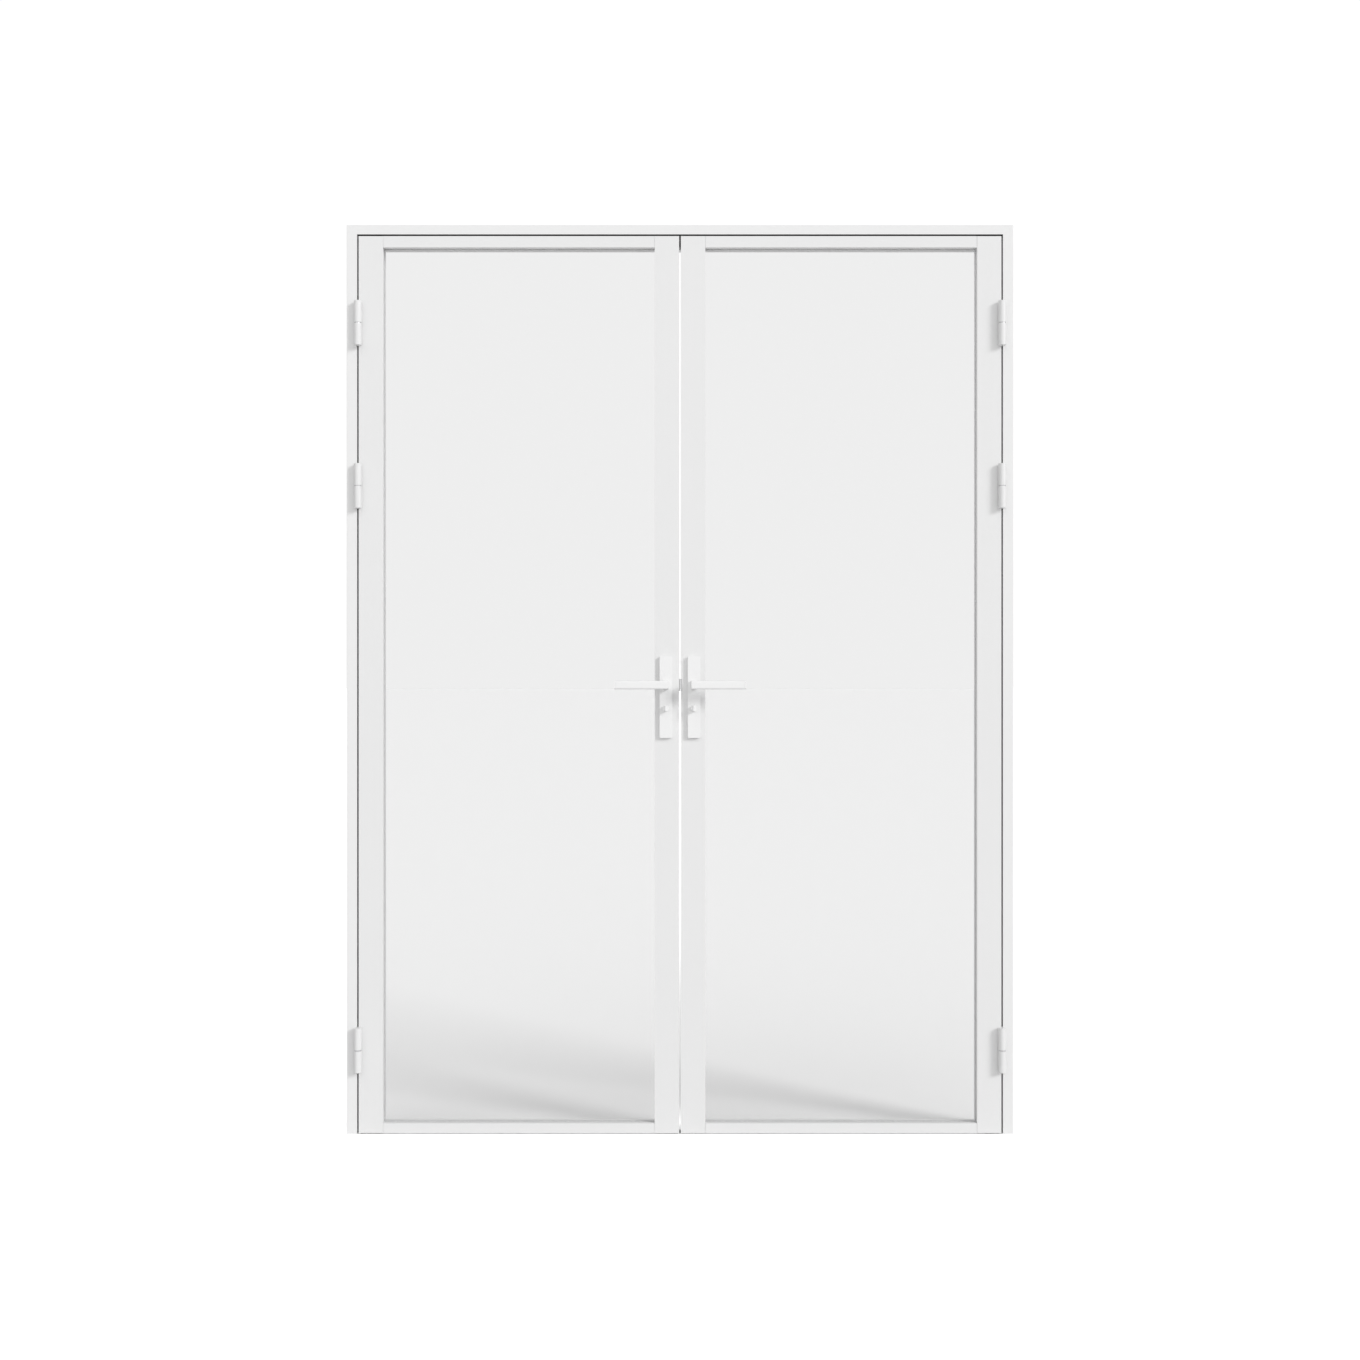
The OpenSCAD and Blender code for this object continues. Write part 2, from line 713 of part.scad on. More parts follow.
// A lever: a flat bar with a capped tip, on a neck that is as high as the bar, with a round journal in
// the plate and a square socket
module lever() {
    cap_l = 3.5;
    cap_seam = 0.5;
    neck_y = front_y - neck_gap;
    edge_r = lever_t / 3;
    color(white_coat)
    difference() {
        union() {
            translate([axis_x - neck_w / 2, bar_y - lever_t / 2, lever_z]) rotate([90, 0, 90])
                rounded_slab(lever_t, lever_h, lever_l + neck_w / 2, edge_r);
            block([axis_x - neck_w / 2, bar_y - lever_t / 2, lever_z - lever_h / 2],
                  [axis_x + neck_w / 2, plate_y - neck_gap, lever_z + lever_h / 2]);
            cross_hole(neck_r, lever_z, plate_y - 2 * neck_gap, neck_y);
        }
        difference() {
            block([axis_x + lever_l - cap_l, bar_y - lever_t - eps, lever_z - lever_h / 2 - eps],
                  [axis_x + lever_l - cap_l + cap_seam, bar_y + eps, lever_z + lever_h / 2 + eps]);
            block([axis_x, bar_y - lever_t + cap_seam, lever_z - lever_h / 2 + cap_seam],
                  [axis_x + lever_l, bar_y - cap_seam, lever_z + lever_h / 2 - cap_seam]);
        }
        block([axis_x - spindle_w / 2 - slip / 2, neck_y - socket_d, lever_z - spindle_w / 2 - slip / 2],
              [axis_x + spindle_w / 2 + slip / 2, neck_y + eps, lever_z + spindle_w / 2 + slip / 2]);
    }
}

module front_lever() lever();

module back_lever() mirror([0, 1, 0]) lever();

module spindle() {
    reach = -front_y + socket_d - 1;
    color(steel)
    block([axis_x - spindle_w / 2, -reach, lever_z - spindle_w / 2],
          [axis_x + spindle_w / 2, reach, lever_z + spindle_w / 2]);
}

module follower() {
    hole = spindle_w / 2 + slip / 2;
    color(steel)
    difference() {
        cross_hole(hub_r, lever_z, -case_t / 2, case_t / 2);
        block([axis_x - hole, -case_t, lever_z - hole], [axis_x + hole, case_t, lever_z + hole]);
    }
}

frame_head();
on_left() jamb();  // frame_jamb_left
on_right() jamb();  // frame_jamb_right
frame_corner_blocks();
frame_seal();
hinge_frame_halves();
hinge_pins();
hinge_washers();
bolt_keeper();
on_left() hinge_stile();  // left_hinge_stile
on_left() lock_stile();  // left_lock_stile
on_left() top_rail();  // left_top_rail
on_left() bottom_rail();  // left_bottom_rail
on_left() corner_blocks();  // left_corner_blocks
on_left() glass();  // left_glass
on_left() front_seal();  // left_front_seal
on_left() back_seal();  // left_back_seal
on_left() side_beads();  // left_side_beads
on_left() rail_beads();  // left_rail_beads
on_left() setting_blocks();  // left_setting_blocks
on_left() hinge_leaf_halves();  // left_hinge_leaf_halves
on_left() lock_case(false);  // left_lock_case
on_left() faceplate();  // left_faceplate
on_left() lock_cylinder();  // left_cylinder
on_left() front_plate();  // left_front_plate
on_left() back_plate();  // left_back_plate
on_left() plate_screws();  // left_plate_screws
on_left() front_lever();  // left_front_lever
on_left() back_lever();  // left_back_lever
on_left() spindle();  // left_spindle
on_left() follower();  // left_follower
on_left() latch();  // left_latch
on_left() dead_bolt();  // left_dead_bolt
on_left() thumb_turn();  // left_thumb_turn
on_right() hinge_stile();  // right_hinge_stile
on_right() lock_stile();  // right_lock_stile
on_right() top_rail();  // right_top_rail
on_right() bottom_rail();  // right_bottom_rail
on_right() corner_blocks();  // right_corner_blocks
on_right() glass();  // right_glass
on_right() front_seal();  // right_front_seal
on_right() back_seal();  // right_back_seal
on_right() side_beads();  // right_side_beads
on_right() rail_beads();  // right_rail_beads
on_right() setting_blocks();  // right_setting_blocks
on_right() hinge_leaf_halves();  // right_hinge_leaf_halves
on_right() lock_case(true);  // right_lock_case
on_right() strike_plate();  // right_strike_plate
on_right() lock_cylinder();  // right_cylinder
on_right() front_plate();  // right_front_plate
on_right() back_plate();  // right_back_plate
on_right() plate_screws();  // right_plate_screws
on_right() front_lever();  // right_front_lever
on_right() back_lever();  // right_back_lever
on_right() spindle();  // right_spindle
on_right() follower();  // right_follower
on_right() thumb_turn();  // right_thumb_turn
on_right() bolt_guides();  // right_bolt_guides
on_right() top_rod();  // right_top_rod
on_right() bottom_rod();  // right_bottom_rod
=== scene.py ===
"""Double-leaf glazed door in its frame: finishes, fixings and a plain studio."""

import math

import bmesh
import bpy
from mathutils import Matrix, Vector


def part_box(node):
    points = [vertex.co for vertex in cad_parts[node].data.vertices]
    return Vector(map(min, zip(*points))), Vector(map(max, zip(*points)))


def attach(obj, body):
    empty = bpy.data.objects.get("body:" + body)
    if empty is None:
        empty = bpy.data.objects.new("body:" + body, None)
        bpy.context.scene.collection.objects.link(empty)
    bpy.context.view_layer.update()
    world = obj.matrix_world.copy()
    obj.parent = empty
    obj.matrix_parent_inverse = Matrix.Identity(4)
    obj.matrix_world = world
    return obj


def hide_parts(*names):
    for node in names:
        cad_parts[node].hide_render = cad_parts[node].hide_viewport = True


bl_info = {
    "name": "Prehung Glazed Door",
    "version": (1, 0, 0),
    "blender": (4, 5, 0),
    "location": "View3D > Sidebar > Door",
    "description": "Dresses a double-leaf glazed door and sets it in a plain studio",
    "category": "Object",
}

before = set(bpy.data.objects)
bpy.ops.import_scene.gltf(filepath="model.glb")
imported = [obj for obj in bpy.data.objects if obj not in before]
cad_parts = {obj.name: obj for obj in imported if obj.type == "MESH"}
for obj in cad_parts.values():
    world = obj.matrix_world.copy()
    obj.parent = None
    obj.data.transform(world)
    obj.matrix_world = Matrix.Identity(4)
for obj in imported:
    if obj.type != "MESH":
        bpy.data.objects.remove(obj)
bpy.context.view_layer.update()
SIDES = (("left", -1), ("right", 1))

# Vertices of a CAD node that are closer than this are one
WELD = 5e-6
# Faces that meet at less than this are joined to one flat face
JOIN_ANGLE = math.radians(0.5)
# A flat face meets its neighbours at less than the first angle or at more than the second
FLAT_ANGLES = (math.radians(0.6), math.radians(28))
# An outer edge that turns by more than this is rounded
EDGE_ANGLE = math.radians(40)
# A corner shares its normal with faces that look the same way to within this angle
SHARED_ANGLE = math.radians(50)
# Most of a noise lies between these values
NOISE_SPAN = (0.3, 0.7)
# Screws of a hinge flap: distance from the flap's rear edge, and height from the hinge's middle
FLAP_SCREWS = ((0.008, -0.04), (0.019, -0.016), (0.019, 0.016), (0.008, 0.04))
# Distance from the end of a plate in the leaf's edge to its screw
EDGE_SCREW_INSET = 0.009
# Where the painted shade on the floor fades out: to both sides of the door's middle, and behind the door
PAINTED_SHADE_SIDES = (0.05, 0.75)
PAINTED_SHADE_FAR_END = (1.0, 4.5)
# Where the painted shade sets in behind the door's middle plane
PAINTED_SHADE_NEAR_END = (0.03, 0.3)
LAMP_DISTANCE = 6


# Sizes and colours that a user would change


class DoorFinish(bpy.types.PropertyGroup):
    """Colours of the door and the softness of its edges"""

    leaf_colour: bpy.props.FloatVectorProperty(
        name="Leaf colour", description="Powder coat on stiles and rails",
        default=(0.79, 0.79, 0.79), min=0, max=1, size=3, subtype="COLOR")
    # Painted light: the beads get a lighter copy of the leaf's powder coat, which brightens the reveals where
    # they sit in shade
    bead_colour: bpy.props.FloatVectorProperty(
        name="Bead colour", description="Powder coat on the glazing beads",
        default=(0.9, 0.9, 0.9), min=0, max=1, size=3, subtype="COLOR")
    frame_colour: bpy.props.FloatVectorProperty(
        name="Frame colour", description="Powder coat on the jambs and the head",
        default=(0.815, 0.815, 0.815), min=0, max=1, size=3, subtype="COLOR")
    hardware_colour: bpy.props.FloatVectorProperty(
        name="Hardware colour", description="Powder coat on levers, plates and turns",
        default=(0.85, 0.85, 0.85), min=0, max=1, size=3, subtype="COLOR")
    # Painted shade: the hinges get a darker copy of the hardware coat, which tones down the strong light on
    # their barrels
    hinge_colour: bpy.props.FloatVectorProperty(
        name="Hinge colour", description="Powder coat on the hinges' barrels and flaps",
        default=(0.77, 0.77, 0.77), min=0, max=1, size=3, subtype="COLOR")
    glass_tint: bpy.props.FloatVectorProperty(
        name="Glass tint", description="Share of the light that the body of the glass lets through",
        default=(0.9, 0.9, 0.9), min=0, max=1, size=3, subtype="COLOR")
    glass_shade: bpy.props.FloatVectorProperty(
        name="Glass shade", description="Share of the light that passes one face of the glass onto the floor",
        default=(0.84, 0.84, 0.84), min=0, max=1, size=3, subtype="COLOR")
    steel_colour: bpy.props.FloatVectorProperty(
        name="Steel colour", description="Brushed steel of bolts, plates in the edge and screws",
        default=(0.56, 0.56, 0.57), min=0, max=1, size=3, subtype="COLOR")
    bolt_colour: bpy.props.FloatVectorProperty(
        name="Bolt colour", description="Nickel-plated latch and dead bolt",
        default=(0.9, 0.9, 0.89), min=0, max=1, size=3, subtype="COLOR")
    leaf_edge: bpy.props.FloatProperty(
        name="Leaf edge radius", description="Rounding of the leaf extrusions' outer edges",
        default=0.0009, min=0.0002, max=0.0019, unit="LENGTH", precision=4)
    frame_edge: bpy.props.FloatProperty(
        name="Frame edge radius", description="Rounding of the frame extrusions' outer edges",
        default=0.0008, min=0.0002, max=0.0019, unit="LENGTH", precision=4)
    hardware_edge: bpy.props.FloatProperty(
        name="Hardware edge radius", description="Rounding of the handles' and plates' edges",
        default=0.0008, min=0.0002, max=0.0015, unit="LENGTH", precision=4)
    peel_size: bpy.props.FloatProperty(
        name="Orange peel size", description="Width of one dimple in the powder coat",
        default=0.0014, min=0.0003, max=0.005, unit="LENGTH", precision=4)
    peel_depth: bpy.props.FloatProperty(
        name="Orange peel depth", description="Depth of the dimples in the powder coat",
        default=0.00004, min=0, max=0.0005, unit="LENGTH", precision=5)


class DoorFixings(bpy.types.PropertyGroup):
    """Sizes of the screws that show"""

    flap_screw: bpy.props.FloatProperty(
        name="Hinge screw head", description="Diameter of a screw head in a hinge flap",
        default=0.0076, min=0.004, max=0.009, unit="LENGTH", precision=4)
    edge_screw: bpy.props.FloatProperty(
        name="Edge plate screw head", description="Diameter of a screw head in a faceplate",
        default=0.007, min=0.004, max=0.009, unit="LENGTH", precision=4)
    proud: bpy.props.FloatProperty(
        name="Screw rise", description="How far a countersunk head stands out of its plate",
        default=0.00015, min=0, max=0.0002, unit="LENGTH", precision=5)


class DoorStudio(bpy.types.PropertyGroup):
    """Studio light and camera"""

    key_strength: bpy.props.FloatProperty(
        name="Key strength", description="Strength of the key light", default=1.7, min=0, max=20)
    key_softness: bpy.props.FloatProperty(
        name="Key softness", description="Angle that the key light fills", default=math.radians(20),
        min=0, max=math.radians(180), subtype="ANGLE")
    key_turn: bpy.props.FloatProperty(
        name="Key turn", description="Angle of the key light to the right of the door's front",
        default=math.radians(53), subtype="ANGLE")
    key_rise: bpy.props.FloatProperty(
        name="Key rise", description="Angle of the key light above the horizon",
        default=math.radians(24), subtype="ANGLE")
    fill_strength: bpy.props.FloatProperty(
        name="Fill strength", description="Strength of the wide fill light", default=1.05, min=0, max=20)
    fill_softness: bpy.props.FloatProperty(
        name="Fill softness", description="Angle that the fill light fills", default=math.radians(90),
        min=0, max=math.radians(180), subtype="ANGLE")
    fill_turn: bpy.props.FloatProperty(
        name="Fill turn", description="Angle of the fill light to the right of the door's front",
        default=math.radians(-15), subtype="ANGLE")
    fill_rise: bpy.props.FloatProperty(
        name="Fill rise", description="Angle of the fill light above the horizon",
        default=math.radians(32), subtype="ANGLE")
    back_strength: bpy.props.FloatProperty(
        name="Back strength", description="Strength of the weak light from behind the door", default=0.5,
        min=0, max=20)
    back_turn: bpy.props.FloatProperty(
        name="Back turn", description="Angle of the back light to the right of the door's front",
        default=math.radians(200), subtype="ANGLE")
    sky_fill: bpy.props.FloatProperty(
        name="Sky fill", description="Strength of the even light from all round", default=0.34, min=0, max=5)
    reflected: bpy.props.FloatProperty(
        name="Reflected studio", description="Brightness of the studio in reflections", default=0.7, min=0,
        max=5)
    backdrop: bpy.props.FloatProperty(
        name="Backdrop", description="Brightness of the backdrop seen past the door", default=1.03,
        min=0, max=5)
    floor_view: bpy.props.FloatProperty(
        name="Floor view", description="Brightness of the open floor seen past the door", default=1.45,
        min=0, max=5)
    # Painted shade: the floor's own colour is darkened close behind the door and stands in for the shadow
    # there
    floor_shade: bpy.props.FloatProperty(
        name="Floor shade", description="Share of the light that the floor lacks close behind the door",
        default=0.46, min=0, max=1)
    glass_view: bpy.props.FloatProperty(
        name="View through glass", description="Brightness of the backdrop seen through the glass",
        default=0.928, min=0, max=5)
    floor_colour: bpy.props.FloatVectorProperty(
        name="Floor colour", description="Pale floor", default=(0.8, 0.8, 0.8), min=0, max=1, size=3,
        subtype="COLOR")
    floor_light: bpy.props.FloatProperty(
        name="Floor light", description="Brightness that the studio's lights give the open floor",
        default=0.638, min=0, max=5)
    floor_size: bpy.props.FloatProperty(
        name="Floor size", description="Width of the floor", default=400, min=10, unit="LENGTH")
    camera_distance: bpy.props.FloatProperty(
        name="Camera distance", description="Distance from the leaves' front faces to the camera",
        default=4.0, min=1, unit="LENGTH")
    camera_height: bpy.props.FloatProperty(
        name="Camera height", description="Height of the camera above the floor", default=1.049, min=0,
        unit="LENGTH")
    lens: bpy.props.FloatProperty(
        name="Lens", description="Focal length in millimetres", default=45.84, min=10, max=200)


# Materials


def blank_material(name):
    """A material with only a surface shader, and that shader."""
    made = bpy.data.materials.new(name)
    made.use_nodes = True
    return made, made.node_tree.nodes["Principled BSDF"]


def feed(tree, socket, value):
    """Set an input to a value, or link it to a socket."""
    if isinstance(value, bpy.types.NodeSocket):
        tree.links.new(value, socket)
    else:
        socket.default_value = value


def add_node(material, kind, **inputs):
    """A node whose inputs hold the given values, or are linked to the given sockets."""
    made = material.node_tree.nodes.new(kind)
    for name, value in inputs.items():
        feed(material.node_tree, made.inputs[name], value)
    return made


def noise(material, size, detail=2.0, stretch=None):
    """Noise in object space with features about size metres wide, stretched along an axis if asked."""
    place = add_node(material, "ShaderNodeTexCoord").outputs["Object"]
    if stretch:
        mapping = add_node(material, "ShaderNodeMapping", Vector=place, Scale=stretch)
        place = mapping.outputs["Vector"]
    made = add_node(material, "ShaderNodeTexNoise", Vector=place, Scale=1 / size, Detail=detail)
    return made.outputs["Fac"]


def map_range(material, value, start, end, low, high, softly=False):
    """A value that goes from low to high while the given one goes from start to end."""
    made = add_node(material, "ShaderNodeMapRange", Value=value, **{
        "From Min": start, "From Max": end, "To Min": low, "To Max": high})
    if softly:
        made.interpolation_type = "SMOOTHSTEP"
    return made.outputs["Result"]


def spread(material, factor, low, high):
    """Noise around its middle, spread from low to high."""
    return map_range(material, factor, *NOISE_SPAN, low, high)


def add_math(material, operation, *values):
    """The result of a sum on sockets and numbers."""
    made = material.node_tree.nodes.new("ShaderNodeMath")
    made.operation = operation
    for socket, value in zip(made.inputs, values):
        feed(material.node_tree, socket, value)
    return made.outputs[0]


def shaded(material, factor, colour, share):
    """The colour, and the colour darkened by a share, mixed by a factor."""
    made = material.node_tree.nodes.new("ShaderNodeMix")
    made.data_type = "RGBA"
    sockets = {(s.name, s.type): s for s in made.inputs}
    sockets[("A", "RGBA")].default_value = (*colour, 1)
    sockets[("B", "RGBA")].default_value = (*(c * (1 - share) for c in colour), 1)
    material.node_tree.links.new(factor, sockets[("Factor", "VALUE")])
    return next(s for s in made.outputs if s.type == "RGBA")


def bumped(material, height, depth):
    """A normal bumped by a height socket, depth metres deep."""
    made = add_node(material, "ShaderNodeBump", Height=height, Strength=1.0, Distance=depth)
    return made.outputs["Normal"]


def seen_level(tree, by_ray, otherwise):
    """A brightness that depends on how it is reached: seen past the door, through its glass, in a
    reflection, or only felt as light."""
    path = tree.nodes.new("ShaderNodeLightPath")
    level = otherwise
    for ray, value in by_ray.items():
        pick = tree.nodes.new("ShaderNodeMapRange")
        feed(tree, pick.inputs["Value"], path.outputs[ray])
        feed(tree, pick.inputs["To Min"], level)
        feed(tree, pick.inputs["To Max"], value)
        level = pick.outputs["Result"]
    return level


def powder_coat(name, colour):
    """Satin powder coat: fine orange peel, faint clouding, and roughness that varies a little."""
    finish = bpy.context.scene.door_finish
    made, shader = blank_material(name)
    link = made.node_tree.links.new
    cloud = spread(made, noise(made, size=0.35, detail=3), low=0, high=1)
    sheen = spread(made, noise(made, size=0.02, detail=3), low=0.36, high=0.44)
    peel = noise(made, finish.peel_size, detail=1)
    link(shaded(made, cloud, colour, share=0.012), shader.inputs["Base Color"])
    link(sheen, shader.inputs["Roughness"])
    link(bumped(made, peel, finish.peel_depth), shader.inputs["Normal"])
    shader.inputs["Specular IOR Level"].default_value = 0.4
    return made


def brushed_steel(name, colour, along):
    """Brushed steel with hairlines along one axis: 0 for X, 1 for Y, 2 for Z."""
    made, shader = blank_material(name)
    link = made.node_tree.links.new
    stretch = [1.0, 1.0, 1.0]
    stretch[along] = 0.03
    lines = noise(made, size=0.0004, detail=3, stretch=stretch)
    link(shaded(made, spread(made, lines, low=0, high=1), colour, share=0.12), shader.inputs["Base Color"])
    link(spread(made, lines, low=0.26, high=0.42), shader.inputs["Roughness"])
    link(bumped(made, lines, depth=0.00001), shader.inputs["Normal"])
    shader.inputs["Metallic"].default_value = 1.0
    return made


def clear_glass(name, tint, shade):
    """Safety glass with a faint waviness from its tempering, which lets the studio's light through."""
    made, shader = blank_material(name)
    link = made.node_tree.links.new
    clear = made.node_tree.nodes.new("ShaderNodeBsdfTransparent")
    clear.inputs["Color"].default_value = (*shade, 1)
    path = made.node_tree.nodes.new("ShaderNodeLightPath")
    lights = add_math(made, "MAXIMUM", path.outputs["Is Shadow Ray"], path.outputs["Is Diffuse Ray"])
    either = made.node_tree.nodes.new("ShaderNodeMixShader")
    link(lights, either.inputs["Fac"])
    link(shader.outputs[0], either.inputs[1])
    link(clear.outputs[0], either.inputs[2])
    link(either.outputs[0], made.node_tree.nodes["Material Output"].inputs["Surface"])
    waves = noise(made, size=0.3, detail=1)
    link(bumped(made, waves, depth=0.00002), shader.inputs["Normal"])
    link(spread(made, noise(made, size=0.05), low=0.0, high=0.006), shader.inputs["Roughness"])
    shader.inputs["Base Color"].default_value = (*tint, 1)
    shader.inputs["Transmission Weight"].default_value = 1.0
    shader.inputs["IOR"].default_value = 1.5
    return made


def soft_rubber(name, colour, roughness):
    """Extruded rubber or nylon: matt, with fine grain and a little bloom."""
    made, shader = blank_material(name)
    link = made.node_tree.links.new
    bloom = spread(made, noise(made, size=0.008, detail=3), low=0, high=1)
    link(shaded(made, bloom, colour, share=0.15), shader.inputs["Base Color"])
    grain = spread(made, noise(made, size=0.002), roughness - 0.08, roughness + 0.08)
    link(grain, shader.inputs["Roughness"])
    link(bumped(made, noise(made, size=0.0005), depth=0.00003), shader.inputs["Normal"])
    return made


def finish_material(name):
    """One of the door's finishes, made when it is first asked for."""
    found = bpy.data.materials.get(name)
    if found:
        return found
    finish = bpy.context.scene.door_finish
    makers = {
        "leaf_coat": lambda: powder_coat(name, finish.leaf_colour),
        "bead_coat": lambda: powder_coat(name, finish.bead_colour),
        "frame_coat": lambda: powder_coat(name, finish.frame_colour),
        "hardware_coat": lambda: powder_coat(name, finish.hardware_colour),
        "hinge_coat": lambda: powder_coat(name, finish.hinge_colour),
        "door_glass": lambda: clear_glass(name, finish.glass_tint, finish.glass_shade),
        "steel_upright": lambda: brushed_steel(name, finish.steel_colour, 2),
        "steel_turned": lambda: brushed_steel(name, finish.steel_colour, 1),
        "bright_steel": lambda: brushed_steel(name, finish.bolt_colour, 0),
        "black_rubber": lambda: soft_rubber(name, (0.025, 0.025, 0.026), 0.6),
        # Pale rubber, its colour raised further as painted light that brightens the seals in the shaded
        # reveals
        "pale_rubber": lambda: soft_rubber(name, (0.9, 0.9, 0.9), 0.5),
        "grey_nylon": lambda: soft_rubber(name, (0.55, 0.55, 0.55), 0.45),
    }
    return makers[name]()


# Meshes


def coat_node(node, finish_name):
    """A CAD node keeps its shape and gets a finish."""
    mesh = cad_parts[node].data
    mesh.materials.clear()
    mesh.materials.append(finish_material(finish_name))


def new_piece(name, mesh, finish_name, body, replaced=()):
    """A finished piece: its material, the body it rides on, and the nodes it stands for."""
    mesh.materials.clear()
    mesh.materials.append(finish_material(finish_name))
    mesh.name = name
    piece = bpy.data.objects.new(name, mesh)
    bpy.context.scene.collection.objects.link(piece)
    if replaced:
        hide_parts(*replaced)
    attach(piece, body)
    return piece


def evaluated_mesh(mesh, add_modifier):
    """The mesh after one modifier, as a mesh of its own."""
    holder = bpy.data.objects.new("holder", mesh)
    bpy.context.scene.collection.objects.link(holder)
    add_modifier(holder)
    bpy.context.view_layer.update()
    graph = bpy.context.evaluated_depsgraph_get()
    made = bpy.data.meshes.new_from_object(holder.evaluated_get(graph), depsgraph=graph)
    holder.modifiers.clear()
    bpy.data.objects.remove(holder)
    bpy.data.meshes.remove(mesh)
    return made


def mark_flat(bm):
    """Mark the faces that are flat by design, which are those that meet no neighbour at a small angle."""
    layer = bm.faces.layers.int.new("flat")
    for face in bm.faces:
        angles = [e.calc_face_angle(math.pi) for e in face.edges]
        face[layer] = all(a < FLAT_ANGLES[0] or a > FLAT_ANGLES[1] for a in angles)
    return layer


def corner_normal(face, vert, layer):
    """A flat face keeps its own normal, and a round one takes those of the flat faces that it meets."""
    if face[layer]:
        return face.normal
    near = [f for f in vert.link_faces if f.normal.dot(face.normal) > math.cos(SHARED_ANGLE)]
    flat = [f for f in near if f[layer]]
    total = Vector()
    for f in flat or near:
        total += f.normal * f.calc_area()
    return total.normalized() if total.length > 0 else face.normal


def smooth_mesh(bm, layer):
    """A mesh with a normal for each corner, from a bmesh that is freed."""
    mesh = bpy.data.meshes.new("smooth")
    bm.normal_update()
    normals = [corner_normal(face, loop.vert, layer)[:] for face in bm.faces for loop in face.loops]
    bm.faces.layers.int.remove(layer)
    bm.to_mesh(mesh)
    bm.free()
    mesh.polygons.foreach_set("use_smooth", [True] * len(mesh.polygons))
    mesh.normals_split_custom_set(normals)
    return mesh


def merged_bmesh(node):
    """A CAD node's shape as one closed mesh, with its flat faces joined."""
    bm = bmesh.new()
    bm.from_mesh(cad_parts[node].data)
    bmesh.ops.remove_doubles(bm, verts=bm.verts, dist=WELD)
    bmesh.ops.dissolve_limit(bm, angle_limit=JOIN_ANGLE, verts=bm.verts, edges=bm.edges)
    return bm


def rounded(node, radius, segments=2, shortest=0.003, keep=None):
    """A copy of a CAD node with its long convex edges rounded. keep says which edges stay sharp."""
    bm = merged_bmesh(node)
    layer = mark_flat(bm)
    edges = [
        e for e in bm.edges
        if len(e.link_faces) == 2 and e.calc_length() > shortest
        and e.calc_face_angle_signed(0) > EDGE_ANGLE
        and not (keep and keep(*(v.co for v in e.verts)))
    ]
    made = bmesh.ops.bevel(bm, geom=edges, offset=radius, segments=segments, profile=0.5, affect="EDGES",
                           clamp_overlap=True)
    for face in made["faces"]:
        face[layer] = 0
    return smooth_mesh(bm, layer)


def round_nodes(names, radius, finish_name, body, **options):
    """Rounded copies of CAD nodes stand for them."""
    for node in names:
        new_piece(node + "_rounded", rounded(node, radius, **options), finish_name, body,
                  [node])


def screw_head(radius, rise, depth=0.0012, edge=0.0001, sides=24):
    """A countersunk head with a hexagon socket, its plate's face at z = 0 and its top at rise."""
    bm = bmesh.new()
    foot = radius * 0.6
    crown = radius * 0.94
    socket = radius * 0.42
    mouth = socket * 1.12

    def ring(size, z, flats=0):
        verts = []
        for i in range(sides):
            a = 2 * math.pi * i / sides
            r = size
            if flats:
                r = size * math.cos(math.pi / flats) / math.cos((a % (2 * math.pi / flats)) - math.pi / flats)
            verts.append(bm.verts.new((r * math.cos(a), r * math.sin(a), z)))
        return verts

    rings = [
        ring(foot, -depth), ring(radius, -edge), ring(radius, rise * 0.5), ring(crown, rise),
        ring(mouth, rise, 6), ring(socket, rise - edge, 6), ring(socket, rise - depth * 0.8, 6),
    ]
    for low, high in zip(rings, rings[1:]):
        for i in range(sides):
            j = (i + 1) % sides
            bm.faces.new((low[i], low[j], high[j], high[i]))
    bm.faces.new(list(reversed(rings[0])))
    bm.faces.new(rings[-1])
    return bm


